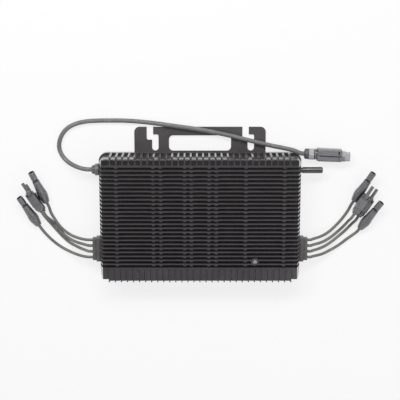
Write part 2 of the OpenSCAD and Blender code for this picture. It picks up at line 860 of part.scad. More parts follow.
module ac_gland_body() {
    washer_t = 1.7;
    bevel = 1;
    color(GREY)
        outward(-1, ac_gland_y)
            difference() {
                union() {
                    translate([0, 0, -wall_t - 2])
                        cylinder(h = wall_t + 2, d = ac_shank_d);
                    cylinder(h = washer_t, d = ac_collar_d - 2 * bevel);
                    translate([0, 0, washer_t])
                        cylinder(h = ac_collar_t - bevel - washer_t, d = ac_collar_d);
                    translate([0, 0, ac_collar_t - bevel])
                        cylinder(h = bevel, d1 = ac_collar_d, d2 = ac_collar_d - 2 * bevel);
                    translate([0, 0, ac_collar_t])
                        cylinder(h = ac_spigot_l, d = ac_spigot_d);
                }
                translate([0, 0, ac_collar_t + ac_nut_l - lead_grip])
                    cylinder(h = lead_grip, d = ac_bore_d);
            }
}

module ac_gland_nut() {
    flute_d = 3;
    flute_depth = 0.5;
    bevel = 1.5;
    color(GREY)
        outward(-1, ac_gland_y)
            translate([0, 0, ac_collar_t])
                difference() {
                    union() {
                        cylinder(h = ac_nut_l - bevel, d = ac_nut_d);
                        translate([0, 0, ac_nut_l - bevel])
                            cylinder(h = bevel, d1 = ac_nut_d, d2 = ac_nut_d - 2 * bevel);
                    }
                    translate([0, 0, -cut])
                        cylinder(h = ac_spigot_l + cut + fit, d = ac_spigot_d + 2 * fit);
                    cylinder(h = ac_nut_l + cut, d = ac_bore_d);
                    for (a = [0:30:330])
                        rotate([0, 0, a])
                            translate([(ac_nut_d + flute_d) / 2 - flute_depth, 0, -cut])
                                cylinder(h = ac_nut_l - bevel + cut / 2, d = flute_d);
                }
}

module aerial_socket() {
    color(METAL)
        outward(1, aerial_y)
            union() {
                translate([0, 0, -wall_t - 2])
                    cylinder(h = wall_t + 2, d = aerial_shank_d);
                cylinder(h = aerial_neck_l, d = aerial_shank_d + 1.4);
                cylinder(h = aerial_neck_l + aerial_core_l, d = aerial_core_d);
            }
}

module aerial_sleeve() {
    tip_r = 2;
    color(BLACK)
        outward(1, aerial_y)
            translate([0, 0, aerial_neck_l])
                difference() {
                    union() {
                        cylinder(h = aerial_l - tip_r, d = aerial_d);
                        translate([0, 0, aerial_l - tip_r])
                            rotate_extrude()
                                intersection() {
                                    square([aerial_d / 2, tip_r]);
                                    union() {
                                        square([aerial_d / 2 - tip_r, tip_r]);
                                        translate([aerial_d / 2 - tip_r, 0])
                                            circle(tip_r);
                                    }
                                }
                    }
                    translate([0, 0, -cut])
                        cylinder(h = aerial_core_l + cut + fit, d = aerial_core_d + 2 * fit);
                }
}

// Two-step block with a bore for each of the four leads on its side
module dc_gland(side) {
    nose_in = 1.6;
    nose_w = dc_gland_w - 2 * nose_in;
    nose_len = dc_gland_l - 2 * nose_in;
    edge_r = 2;
    color(GREY)
        outward(side, dc_gland_y)
            difference() {
                union() {
                    translate([0, 0, -wall_t])
                        rounded_block(dc_shank_w, dc_shank_l, 1, wall_t);
                    rounded_block(dc_gland_w, dc_gland_l, edge_r, dc_gland_base_t);
                    translate([0, 0, dc_gland_base_t])
                        rounded_block(nose_w, nose_len, edge_r, dc_gland_nose_t);
                }
                for (i = [1:4])
                    translate([0, lead_y(i) - dc_gland_y, dc_gland_base_t + dc_gland_nose_t - lead_grip])
                        cylinder(h = lead_grip + cut, d = lead_bore_d);
            }
}

module rounded_block(w, h, r, t) {
    linear_extrude(t)
        rounded_outline(w, h, r);
}

module dc_gland_left() {
    dc_gland(-1);
}

module dc_gland_right() {
    dc_gland(1);
}

// Leads: a tube swept along the points of its route

function unit(v) = v / norm(v);
function heading(p, i) = unit(p[min(i + 1, len(p) - 1)] - p[max(i - 1, 0)]);
function ring(p, i, r, sides) =
    let (t = heading(p, i), a = unit(cross(t, [0, 0, 1])), b = cross(a, t))
    [for (k = [0:sides - 1]) p[i] + r * (cos(360 * k / sides) * a + sin(360 * k / sides) * b)];

module tube(route, d, sides) {
    n = len(route);
    points = [for (i = [0:n - 1]) each ring(route, i, d / 2, sides)];
    walls = [for (i = [0:n - 2]) for (k = [0:sides - 1])
        let (a = i * sides + k, b = i * sides + (k + 1) % sides)
        each [[a, b, a + sides], [b, b + sides, a + sides]]];
    start = [for (k = [sides - 1:-1:0]) k];
    end = [for (k = [0:sides - 1]) (n - 1) * sides + k];
    polyhedron(points = points, faces = concat([start], walls, [end]), convexity = 6);
}

// Puts a connector on the end of its lead, pointing the way the lead ends
module on_end(route) {
    p = route[len(route) - 1];
    d = unit(p - route[len(route) - 2]);
    translate(p)
        rotate([0, 0, atan2(d[1], d[0])])
            rotate([0, 90 - asin(d[2]), 0])
                translate([0, 0, -lead_grip])
                    children();
}

module ac_cable() {
    color(GREY)
        tube(ac_route, ac_cable_d, 12);
}

module dc_lead(routes, i) {
    color(GREY)
        tube(routes[i - 1], lead_d, 8);
}

// Panel connectors. Leads 1 and 4 end in an open barrel, and leads 2 and 3 in a slim nose
function has_barrel(i) = i == 1 || i == 4;

module grip_flutes(r, count, flute_r, depth, z0, z1) {
    for (k = [0:count - 1])
        rotate([0, 0, (k + 0.5) * 360 / count])
            translate([r + flute_r - depth, 0, z0])
                cylinder(h = z1 - z0, r = flute_r, $fn = 24);
}

module barrel_cap() {
    r = barrel_cap_d / 2;
    seat_r = spigot_d / 2 + fit;
    difference() {
        rotate_extrude()
            polygon([
                [lead_bore_d / 2, 0], [r - 2.9, 0], [r - 2.4, 0.8], [r - 1.8, 3], [r - 0.8, 7], [r - 0.1, 11],
                [r, 14], [r, 16.5], [r - 0.3, barrel_cap_l], [seat_r, barrel_cap_l],
                [seat_r, barrel_cap_l - spigot_l - fit], [lead_bore_d / 2, barrel_cap_l - spigot_l - fit]
            ]);
        grip_flutes(r, 10, 2.2, 0.5, 4, barrel_cap_l + cut);
    }
}

// Long barrel with a seal groove round it and an open end
module barrel_body() {
    root_r = barrel_cap_d / 2 - 0.5;
    r = barrel_d / 2;
    mouth_r = r - 1;
    root_end = barrel_cap_l + 3.5;
    neck = barrel_cap_l + 8.5;
    shaft = barrel_cap_l + 14;
    groove_r = r - 0.9;
    lip = 0.4;
    difference() {
        union() {
            translate([0, 0, barrel_cap_l - spigot_l])
                cylinder(h = spigot_l, d = spigot_d);
            rotate_extrude()
                polygon([
                    [0, barrel_cap_l], [root_r, barrel_cap_l], [root_r - 0.3, root_end], [r + 1.1, neck],
                    [r + 0.5, shaft], [r + lip, barrel_groove_s - 1.9], [groove_r, barrel_groove_s - 0.7],
                    [groove_r, barrel_groove_s + 0.6], [r, barrel_groove_s + 0.6],
                    [r, barrel_l - lip], [r - lip, barrel_l], [0, barrel_l]
                ]);
        }
        translate([0, 0, barrel_l - barrel_mouth_l])
            cylinder(h = barrel_mouth_l + cut, r = mouth_r);
        translate([0, 0, barrel_l - barrel_bore_l])
            cylinder(h = barrel_bore_l + cut, d = socket_d + 2 * fit);
        translate([0, 0, lead_grip])
            cylinder(h = barrel_l - barrel_bore_l, d = contact_core_d + 2 * fit);
    }
}

module nose_cap() {
    r = nose_body_w / 2;
    seat_r = spigot_d / 2 + fit;
    difference() {
        rotate_extrude()
            polygon([
                [lead_bore_d / 2, 0], [r - 2.1, 0], [r - 1.9, 1], [r - 2.1, 1.6], [r - 0.9, 3], [r, 5],
                [r, nose_cap_l], [seat_r, nose_cap_l],
                [seat_r, nose_cap_l - spigot_l + fit], [lead_bore_d / 2, nose_cap_l - spigot_l + fit]
            ]);
        grip_flutes(r, 10, 2, 0.4, 3, nose_cap_l + cut);
    }
}

// Flat-sided body with two short latches beside a stepped collar, and a slim nose with a rounded end
module nose_body() {
    front = nose_cap_l + nose_body_l;
    collar_front = front + nose_collar_l;
    root_l = 0.5;
    bevel = 0.8;
    shoulder_l = 2;
    latch_t = 2;
    latch_w = 6;
    latch_l = 3.6;
    latch_y = (nose_body_w - latch_t) / 2;
    r = nose_d / 2;
    difference() {
        union() {
            translate([0, 0, nose_cap_l - spigot_l + 2 * fit])
                cylinder(h = spigot_l, d = spigot_d);
            translate([0, 0, nose_cap_l])
                rounded_block(nose_body_h, nose_body_w, 3, nose_body_l - shoulder_l);
            translate([0, 0, front - shoulder_l])
                rounded_block(nose_body_h - 2, nose_body_w - 1, 2.6, shoulder_l);
            for (side = [-1, 1])
                translate([-latch_w / 2, side * latch_y - latch_t / 2, front - shoulder_l])
                    cube([latch_w, latch_t, shoulder_l + latch_l]);
            rotate_extrude()
                polygon(concat(
                    [
                        [0, front - cut], [nose_collar_r, front - cut],
                        [nose_collar_r, collar_front - root_l - bevel], [nose_collar_r - bevel, collar_front - root_l],
                        [r + root_l / 2, collar_front - root_l], [r, collar_front]
                    ],
                    arc([r - nose_tip_r, nose_l - nose_tip_r], nose_tip_r, 0, 90),
                    [[0, nose_l]]
                ));
        }
        translate([0, 0, lead_grip])
            cylinder(h = nose_l, d = contact_core_d + 2 * fit);
    }
}

module dc_connector(routes, i) {
    color(GREY)
        on_end(routes[i - 1])
            if (has_barrel(i))
                barrel_body();
            else
                nose_body();
}

module dc_cap(routes, i) {
    color(GREY)
        on_end(routes[i - 1])
            if (has_barrel(i))
                barrel_cap();
            else
                nose_cap();
}

// Metal contact of an open barrel: a sleeve that takes the nose of the mating connector
module socket() {
    end = barrel_l - barrel_mouth_l;
    difference() {
        union() {
            translate([0, 0, lead_grip])
                cylinder(h = barrel_l - barrel_bore_l - lead_grip, d = contact_core_d);
            translate([0, 0, barrel_l - barrel_bore_l])
                cylinder(h = end - barrel_l + barrel_bore_l, d = socket_d);
        }
        translate([0, 0, end - socket_depth])
            cylinder(h = socket_depth + cut, d = nose_d + 2 * fit);
    }
}

// Metal contact of a slim nose, a rod that ends a little inside it
module pin() {
    translate([0, 0, lead_grip])
        cylinder(h = nose_l - pin_recess - lead_grip, d = contact_core_d);
}

module dc_sockets() {
    color(METAL)
        for (routes = [left_routes, right_routes], i = [1, 4])
            on_end(routes[i - 1])
                socket();
}

module dc_pins() {
    color(METAL)
        for (routes = [left_routes, right_routes], i = [2, 3])
            on_end(routes[i - 1])
                pin();
}

// Mains connector, built along +Z from its cable end

// Domed seal at the cable end
module ac_plug_seal() {
    r = ac_nut_r - 0.4;
    color(BLACK)
        on_end(ac_route)
            rotate_extrude()
                polygon(concat(
                    [[ac_bore_d / 2, ac_seal_l], [ac_bore_d / 2, 0], [r - 2.6, 0]],
                    arc([r - 2.6, 2.6], 2.6, -90, 0),
                    [[r, ac_seal_l]]
                ));
}

// Nut with ten flat sides
module ac_plug_nut() {
    edge = 0.9;
    color(PALE_GREY)
        on_end(ac_route)
            translate([0, 0, ac_seal_l])
                difference() {
                    rotate_extrude($fn = 10)
                        polygon([
                            [0, 0], [ac_nut_r - edge, 0], [ac_nut_r, edge], [ac_nut_r, ac_plug_nut_l - edge],
                            [ac_nut_r - edge, ac_plug_nut_l], [0, ac_plug_nut_l]
                        ]);
                    translate([0, 0, -cut])
                        cylinder(h = ac_plug_nut_l + 2 * cut, d = ac_core_d + 2 * fit);
                }
}

// Body with a raised bridge along its top, a latch over the insert and grip ribs along its lower side
module ac_plug_body() {
    body_l = ac_body_end - ac_body_start - ac_collar_l;
    bridge_t = 1.8;
    bridge_w = ac_plug_w / 2;
    block_h = ac_plug_h - bridge_t;
    bridge_y = (ac_plug_w - bridge_w) / 2 - 0.4;
    seam_w = 1.4;
    seam_depth = 1.6;
    slot_l = 1.8;
    slot_reach = 5.2;
    rib_l = 1.6;
    rib_pitch = 3.6;
    rib_count = 6;
    rib_w = 8;
    rib_t = 2;
    rib_stand = 0.7;
    latch_t = 1.8;
    latch_w = 6;
    latch_l = 7.4;
    latch_stand = 1.4;
    color(PALE_GREY)
        on_end(ac_route)
            difference() {
                union() {
                    translate([0, 0, ac_seal_l])
                        cylinder(h = ac_plug_nut_l, d = ac_core_d);
                    translate([0, 0, ac_body_start])
                        rotate_extrude()
                            polygon([
                                [0, 0], [ac_nut_r - 1, 0], [ac_nut_r + 0.2, 1], [ac_nut_r + 0.2, 2],
                                [ac_nut_r - 0.6, 2.2], [ac_nut_r - 0.6, 3.2], [ac_nut_r + 0.4, 3.4],
                                [ac_nut_r + 0.4, ac_collar_l], [0, ac_collar_l]
                            ]);
                    translate([0, 0, ac_body_start + ac_collar_l]) {
                        rounded_block(block_h, ac_plug_w, 4, body_l);
                        translate([-block_h / 2, bridge_y, 0])
                            rounded_block(2 * bridge_t, bridge_w, 1.6, body_l);
                        for (k = [0:rib_count - 1])
                            translate([-3, -ac_plug_w / 2 - rib_stand, rib_pitch * (k + 1) - 0.6])
                                cube([rib_w, rib_t, rib_l]);
                    }
                    translate([-block_h / 2 - latch_stand, -latch_w - 1, ac_body_end - 3])
                        cube([latch_t, latch_w, latch_l]);
                }
                translate([0, 0, -cut])
                    cylinder(h = ac_seal_l + cut + fit, d = ac_core_d + cut);
                translate([-ac_plug_h, -seam_w - 0.2, ac_body_start + ac_collar_l + 3])
                    cube([ac_plug_h - block_h / 2 + seam_depth, seam_w, body_l - 7]);
                translate([-ac_plug_h, 1.8, ac_body_end - 5])
                    cube([ac_plug_h - block_h / 2 + 1.2, slot_reach, slot_l]);
                translate([0, 0, ac_body_end - ac_insert_root_l - fit])
                    cylinder(h = ac_insert_root_l + fit + cut, d = ac_insert_root_d + 2 * fit);
            }
}

// Insert with three contact holes, stepped in at its front
module ac_plug_insert() {
    step_l = 6.2;
    step_in = 0.8;
    root_w = 14.2;
    root_h = 13.8;
    offset_y = -1.2;
    color(PALE_GREY)
        on_end(ac_route)
            difference() {
                union() {
                    translate([0, 0, ac_body_end - ac_insert_root_l])
                        cylinder(h = ac_insert_root_l, d = ac_insert_root_d);
                    translate([0, offset_y, ac_body_end])
                        rounded_block(root_w, root_h, 3.6, step_l);
                    translate([0, offset_y, ac_body_end + step_l])
                        rounded_block(root_w - 2 * step_in, root_h - 2 * step_in, 3, ac_insert_l - step_l);
                }
                at_contacts()
                    translate([0, 0, ac_body_end - ac_insert_root_l - cut])
                        cylinder(h = ac_insert_l + ac_insert_root_l + 2 * cut, d = ac_contact_d + 2 * fit);
            }
}

module at_contacts() {
    for (a = [90, 210, 330])
        rotate([0, 0, a])
            translate([3.4, 0, 0])
                children();
}

module ac_plug_contacts() {
    color(METAL)
        on_end(ac_route)
            at_contacts()
                translate([0, 0, ac_body_end - ac_insert_root_l])
                    difference() {
                        cylinder(h = ac_insert_l + ac_insert_root_l - 1.5, d = ac_contact_d);
                        translate([0, 0, ac_insert_root_l])
                            cylinder(h = ac_insert_l, d = ac_contact_d - 1);
                    }
}

heatsink_housing();
back_cover();
cover_gasket();
cover_screws();
mounting_bracket();
bracket_screws();
circuit_board();
for (i = [1:4])
    transformer_core(i);
transformer_windings();
input_capacitors();
output_capacitor();
line_choke();
grid_relay();
power_transistors();
thermal_pad();
radio_module();
potting_compound();
indicator_lens();
ac_gland_body();
ac_gland_nut();
aerial_socket();
aerial_sleeve();
dc_gland_left();
dc_gland_right();
ac_cable();
ac_plug_seal();
ac_plug_nut();
ac_plug_body();
ac_plug_insert();
ac_plug_contacts();
for (i = [1:4]) {
    dc_lead(left_routes, i);
    dc_lead(right_routes, i);
    dc_connector(left_routes, i);
    dc_connector(right_routes, i);
    dc_cap(left_routes, i);
    dc_cap(right_routes, i);
}
dc_pins();
dc_sockets();
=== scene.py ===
"""Solar microinverter on its back on a pale table, seen from above as in the photograph."""

import json
import math

import bpy
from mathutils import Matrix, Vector

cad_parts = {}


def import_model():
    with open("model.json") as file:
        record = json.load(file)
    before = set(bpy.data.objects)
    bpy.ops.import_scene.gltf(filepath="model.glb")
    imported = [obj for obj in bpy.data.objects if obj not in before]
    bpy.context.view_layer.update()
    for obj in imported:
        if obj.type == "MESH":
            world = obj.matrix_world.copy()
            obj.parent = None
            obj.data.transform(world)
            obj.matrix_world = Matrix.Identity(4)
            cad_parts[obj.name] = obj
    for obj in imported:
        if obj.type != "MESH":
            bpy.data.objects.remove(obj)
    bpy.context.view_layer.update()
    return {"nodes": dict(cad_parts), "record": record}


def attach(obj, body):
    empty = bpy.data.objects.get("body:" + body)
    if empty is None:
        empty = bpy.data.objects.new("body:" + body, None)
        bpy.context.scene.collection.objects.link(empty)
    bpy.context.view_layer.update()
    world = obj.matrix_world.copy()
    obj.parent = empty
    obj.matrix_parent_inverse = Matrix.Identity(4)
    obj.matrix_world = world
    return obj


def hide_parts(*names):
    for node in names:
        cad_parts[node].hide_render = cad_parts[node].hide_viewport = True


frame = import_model()

MM = 0.001
scene = bpy.context.scene
scene.view_settings.view_transform = "Standard"

# Camera: almost straight above, leaning a little towards the bracket side
TILT = math.radians(12.8)
DISTANCE = 1.573
AIM = Vector((0, 0.0252, 0.020))
FOCAL_PX = 1101
PICTURE_PX = 400
SENSOR_MM = 36

camera_data = bpy.data.cameras.new("camera")
camera_data.sensor_width = SENSOR_MM
camera_data.lens = SENSOR_MM * FOCAL_PX / PICTURE_PX
camera = bpy.data.objects.new("camera", camera_data)
camera.location = AIM + DISTANCE * Vector((0, math.sin(TILT), math.cos(TILT)))
camera.rotation_euler = (-TILT, 0, 0)
scene.collection.objects.link(camera)
scene.camera = camera

# Routes of the cords, as in the CAD model, in millimetres
AC_DIAMETER = 6.4
LEAD_DIAMETER = 4.2
AC_ROUTE = [
    (-150.1, 69.1, 17), (-158.1, 69.1, 17), (-166, 69.9, 16.1), (-172.5, 71.3, 14.2),
    (-179, 73.4, 11.6), (-185.6, 76.5, 8.6), (-191.3, 80.4, 6), (-196, 85.4, 4.3),
    (-199.2, 91, 3.4), (-201, 97.4, 3.3), (-201, 104, 3.3), (-199.2, 111.4, 3.3),
    (-194.8, 119.6, 3.3), (-187.4, 127, 3.3), (-176.8, 132.4, 3.3), (-162.3, 135.8, 3.3),
    (-147.9, 136.9, 3.3), (-129.7, 137.2, 3.3), (-106.6, 137, 3.3), (-85.1, 135.6, 3.5),
    (-64, 133.4, 4.2), (-36.7, 129.8, 5.6), (3.1, 124, 6.2), (43.1, 115.9, 6.3),
    (73.2, 108.4, 6.4), (103.1, 101.5, 7.4), (112, 99.9, 8.3), (120.9, 98.2, 9.3),
    (128.6, 96.7, 10.2), (134.6, 95, 10.5), (143, 91.3, 9.1), (147.6, 90.45, 8.6),
    (152.6, 90.2, 8.6),
]

# The panel leads leave the face of a gland, which grips them some way inside it
GLAND_FACE_X = 154.7
GLAND_Y = -47.3
PORT_Z = 17
LEAD_PITCH = 8.6
LEAD_GRIP = 4
LEADS_A_SIDE = 4

# Each point of a lead: its distance out from the gland's face, along the side, and its height
LEFT_LEADS = [
    [(11, 12.9, 15.4), (23.1, 14.6, 10.5), (34, 18.3, 6.6), (42.5, 24.9, 7), (50.1, 33.3, 7),
     (56.1, 42.2, 5.4), (60.4, 49.2, 4.2), (64.7, 61.3, 3.5), (68.1, 69.4, 5.6)],
    [(12.8, 5.7, 15.2), (25.2, 8, 9.8), (34.8, 11.8, 6), (41.9, 17, 5.2), (47.7, 23.8, 4.8),
     (52.8, 30.5, 3), (59.2, 37.1, 3), (68.9, 47.1, 6.2), (73.5, 54.8, 6.2)],
    [(12.3, -2.6, 14.6), (24.6, 1.1, 8.6), (35.3, 5.6, 3.2), (44.2, 13.3, 2.2), (52.1, 22.3, 2.4),
     (58.6, 31.6, 6), (64.1, 40.6, 12.2), (70.7, 52.2, 18.4), (75.5, 59.8, 18.4)],
    [(12.1, -12.6, 15.2), (24.8, -10.7, 9.6), (37.2, -6.7, 4.6), (48.5, -0.9, 2.4),
     (58.7, 7.1, 2.4), (66.9, 15.5, 3), (76.6, 27.8, 3.5), (81, 35.4, 5.6)],
]
RIGHT_LEADS = [
    [(8.6, 13.8, 15.2), (20.3, 16.3, 10), (31.2, 21.1, 5), (42.4, 30.7, 2.6), (52.1, 42.1, 2.6),
     (59.3, 52.9, 2.9), (64.8, 63.6, 3.5), (69.2, 71.2, 5.6)],
    [(8.8, 5.1, 15.2), (21.7, 7.4, 9.8), (33.7, 12.7, 5), (45, 21.6, 3.4), (53.6, 31.3, 6.6),
     (59.5, 40.5, 13), (63.8, 47.9, 19.6), (68.6, 55.4, 19.6)],
    [(9, -3.4, 15.2), (21.9, -0.6, 9.6), (34.6, 5.4, 4.6), (46.2, 14.2, 2.4), (57, 24.1, 2.6),
     (65.5, 33.8, 4.2), (71.7, 41.1, 6.2), (76.6, 48.7, 6.2)],
    [(9.1, -12.2, 15.2), (22.2, -10.4, 9.8), (35.4, -5.5, 4.6), (48.6, 2.1, 2.4), (60, 11.1, 2.4),
     (68.4, 17.4, 2.7), (74.4, 22.7, 3.5), (79.3, 29.9, 5.6)],
]


def lead_route(side, leads, number):
    """The whole route of one panel lead: straight out of its gland, then along its points."""
    start_y = GLAND_Y + ((LEADS_A_SIDE + 1) / 2 - number) * LEAD_PITCH
    start = [(side * (GLAND_FACE_X + out), start_y, PORT_Z) for out in (-LEAD_GRIP, LEAD_GRIP)]
    points = leads[number - 1]
    return start + [(side * (GLAND_FACE_X + out), GLAND_Y + y, z) for out, y, z in points]


# Shader nodes


def new_material(name):
    """An empty material with a Principled shader, and its node tree."""
    mat = bpy.data.materials.new(name)
    mat.use_nodes = True
    tree = mat.node_tree
    return mat, tree, tree.nodes["Principled BSDF"]


def set_input(tree, socket, value):
    """Links value to the input if it is a socket, and else sets it."""
    if isinstance(value, bpy.types.NodeSocket):
        tree.links.new(value, socket)
    else:
        socket.default_value = value


def add(tree, kind, inputs=(), **settings):
    """A node with its settings, and its inputs linked or set."""
    node = tree.nodes.new(kind)
    for key, value in settings.items():
        setattr(node, key, value)
    for key, value in dict(inputs).items():
        set_input(tree, node.inputs[key], value)
    return node


def maths(tree, operation, a, b):
    """Result of a maths node."""
    return add(tree, "ShaderNodeMath", {0: a, 1: b}, operation=operation).outputs[0]


def vectors(tree, operation, output, inputs):
    """One output of a vector maths node."""
    return add(tree, "ShaderNodeVectorMath", inputs, operation=operation).outputs[output]


def place_on_object(tree):
    """Where the point is in the object's own coordinates, in metres."""
    return add(tree, "ShaderNodeTexCoord").outputs["Object"]


def grey(srgb, tint=(1, 1, 1)):
    """Linear colour of a grey given as it looks, from 0 to 255, with a light tint."""
    level = ((srgb / 255 + 0.055) / 1.055) ** 2.4
    return (level * tint[0], level * tint[1], level * tint[2], 1)


def greys(dark, light, tint=(1, 1, 1)):
    """The dark and the light colour that a material is blotched with."""
    return grey(dark, tint), grey(light, tint)


def noise(tree, scale, detail=3, roughness=0.5, vector=None):
    """Noise over the object's own coordinates; scale is in features a metre."""
    where = vector or place_on_object(tree)
    inputs = {"Vector": where, "Scale": scale, "Detail": detail, "Roughness": roughness}
    return add(tree, "ShaderNodeTexNoise", inputs).outputs["Fac"]


def spread(tree, value, low, high, to_low, to_high):
    """Maps value from one span to another, and keeps it inside."""
    spans = {"From Min": low, "From Max": high, "To Min": to_low, "To Max": to_high}
    return add(tree, "ShaderNodeMapRange", {"Value": value, **spans}).outputs["Result"]


def blend(tree, factor, a, b):
    """Colour between a and b."""
    node = add(tree, "ShaderNodeMix", {"Factor": factor}, data_type="RGBA")
    colour_a, colour_b, result = node.inputs[6], node.inputs[7], node.outputs[2]
    set_input(tree, colour_a, a)
    set_input(tree, colour_b, b)
    return result


def paint(tree, colour, *masks):
    """Paints the Principled shader's base colour over where every mask is 1."""
    base = tree.nodes["Principled BSDF"].inputs["Base Color"]
    inside = masks[0]
    for mask in masks[1:]:
        inside = maths(tree, "MULTIPLY", inside, mask)
    tree.links.new(blend(tree, inside, base.links[0].from_socket, colour), base)


# Materials, with grain, blotches and scratches in features a metre and lengths in millimetres
BLACK = (0, 0, 0, 1)
USUAL_NOISE = (0.3, 0.7)
NARROW_NOISE = (0.35, 0.65)
COAT_ROUGHNESS = 0.14
MOULDED_WEAR = (-0.05, 0.06)
METAL_WEAR = (-0.06, 0.08)
METAL_SCRATCHES = 900
SCRATCH_DEPTH = 0.02
SCRATCH_STRETCH = (1, 6, 1)
METAL_DULLING = 0.8

# Painted shade in creases: share of the sky that a crease sees where it is darkest and where it
# ends, and how dark it gets
CREASE_SKY = (0.5, 0.92)
MOULDED_CREASE_SHADE = 0.15
METAL_CREASE_SHADE = 0.1


def shade_creases(tree, colour, reach, darkest):
    """The colour with painted shade: darker in grooves, seams, mouths and gaps narrower than reach.
    """
    inputs = {"Distance": reach * MM}
    sky = add(tree, "ShaderNodeAmbientOcclusion", inputs, samples=8).outputs["AO"]
    return blend(tree, spread(tree, sky, *CREASE_SKY, darkest, 1), BLACK, colour)


def worn(tree, pattern, roughness, wear):
    """The roughness, lower and higher by wear as the pattern goes."""
    down, up = wear
    return spread(tree, pattern, *USUAL_NOISE, roughness + down, roughness + up)


def moulded(
    name, colours, roughness, grain, grain_depth, blotch, bevel=0, crease_shade=0, coat=0, coat_ior=1.5,
    shine=0.5,
):
    """Plastic, rubber or coated metal: blotchy colour, a fine grain and soft edges; given a crease
    reach, painted shade in its creases.
    """
    mat, tree, bsdf = new_material(name)
    blotches = spread(tree, noise(tree, blotch, 4, 0.6), *NARROW_NOISE, 0, 1)
    colour = blend(tree, blotches, *colours)
    # Painted shade: the colour darkens in creases narrower than the given reach
    if crease_shade:
        colour = shade_creases(tree, colour, crease_shade, MOULDED_CREASE_SHADE)
    tree.links.new(colour, bsdf.inputs["Base Color"])
    spots = noise(tree, blotch * 3)
    tree.links.new(worn(tree, spots, roughness, MOULDED_WEAR), bsdf.inputs["Roughness"])
    inputs = {"Strength": 1, "Distance": grain_depth * MM, "Height": noise(tree, grain, 2)}
    bump = add(tree, "ShaderNodeBump", inputs)
    if bevel:
        edge = add(tree, "ShaderNodeBevel", {"Radius": bevel * MM}, samples=6)
        tree.links.new(edge.outputs["Normal"], bump.inputs["Normal"])
    tree.links.new(bump.outputs["Normal"], bsdf.inputs["Normal"])
    bsdf.inputs["Coat Weight"].default_value = coat
    bsdf.inputs["Coat Roughness"].default_value = COAT_ROUGHNESS
    bsdf.inputs["Coat IOR"].default_value = coat_ior
    bsdf.inputs["Specular IOR Level"].default_value = shine
    return mat


def metal(name, colour, roughness, crease_shade=0):
    """Bare or plated metal with a brushed, slightly uneven face; given a crease reach, painted
    shade in its creases.
    """
    mat, tree, bsdf = new_material(name)
    bsdf.inputs["Metallic"].default_value = 1
    inputs = {"Vector": place_on_object(tree), "Scale": SCRATCH_STRETCH}
    stretched = add(tree, "ShaderNodeMapping", inputs).outputs["Vector"]
    streaks = noise(tree, METAL_SCRATCHES, vector=stretched)
    dull = tuple(METAL_DULLING * c for c in colour[:3]) + (1,)
    shown = blend(tree, streaks, dull, colour)
    # Painted shade: the colour darkens in creases narrower than the given reach
    if crease_shade:
        shown = shade_creases(tree, shown, crease_shade, METAL_CREASE_SHADE)
    tree.links.new(shown, bsdf.inputs["Base Color"])
    tree.links.new(worn(tree, streaks, roughness, METAL_WEAR), bsdf.inputs["Roughness"])
    inputs = {"Strength": 1, "Distance": SCRATCH_DEPTH * MM, "Height": streaks}
    bump = add(tree, "ShaderNodeBump", inputs)
    tree.links.new(bump.outputs["Normal"], bsdf.inputs["Normal"])
    return mat


# Tints: the castings are a warm purple black, the connectors cool and the leads' sheaths warm
DARK_TINT = (1.18, 1, 1.16)
BRACKET_TINT = (1.1, 1, 1.06)
COOL = (1, 0.99, 1.08)
WARM = (1.02, 1, 0.95)

# Painted shade on the floors of the pockets along the casting's top edge: past this y, between
# these heights
POCKETS_Y = (78.0, 78.6)
POCKETS_TOP = (40.8, 40.2)
POCKETS_BOTTOM = (38.5, 39.0)
POCKET_SHADE_GREY = 14

# Painted shade on an open barrel, a dark band round its groove and dark inside its opening: from
# the middle of its socket along its axis, and from its axis
GROOVE_SHADE_START = (-6.5, -6.2)
GROOVE_SHADE_END = (-3.1, -3.3)
MOUTH_START = (2.8, 3.2)
MOUTH_RADIUS = (3.85, 3.75)
GROOVE_AND_MOUTH_SHADE_GREY = 24


def inside_from(tree, value, edge):
    """Mask over a length in millimetres: 0 up to the first number of edge, 1 from the second."""
    return spread(tree, value, edge[0] * MM, edge[1] * MM, 0, 1)


def casting_coat():
    """Glossy powder coat with a pale bloom seen edge on, and painted shade on the floors of the
    pockets of the top edge.
    """
    mat = moulded(
        "cast_coat", greys(51, 60, DARK_TINT), 0.34, grain=2600, grain_depth=0.03, blotch=45,
        bevel=0.4, crease_shade=2, coat=1, coat_ior=1.45, shine=0.4,
    )
    tree = mat.node_tree
    place = add(tree, "ShaderNodeSeparateXYZ", {"Vector": place_on_object(tree)}).outputs
    # Painted shade: the pocket floors are painted almost black
    paint(
        tree, grey(POCKET_SHADE_GREY, DARK_TINT), inside_from(tree, place["Y"], POCKETS_Y),
        inside_from(tree, place["Z"], POCKETS_TOP), inside_from(tree, place["Z"], POCKETS_BOTTOM),
    )
    bsdf = tree.nodes["Principled BSDF"]
    bsdf.inputs["Sheen Weight"].default_value = 0.4
    bsdf.inputs["Sheen Roughness"].default_value = 0.2
    return mat


def connector_plastic(name):
    """The cool grey plastic of the panel connectors, with painted shade in gaps and creases within
    8 mm.
    """
    return moulded(
        name, greys(98, 111, COOL), 0.26, grain=2400, grain_depth=0.02, blotch=130, bevel=0.3,
        crease_shade=8, coat=0.7,
    )


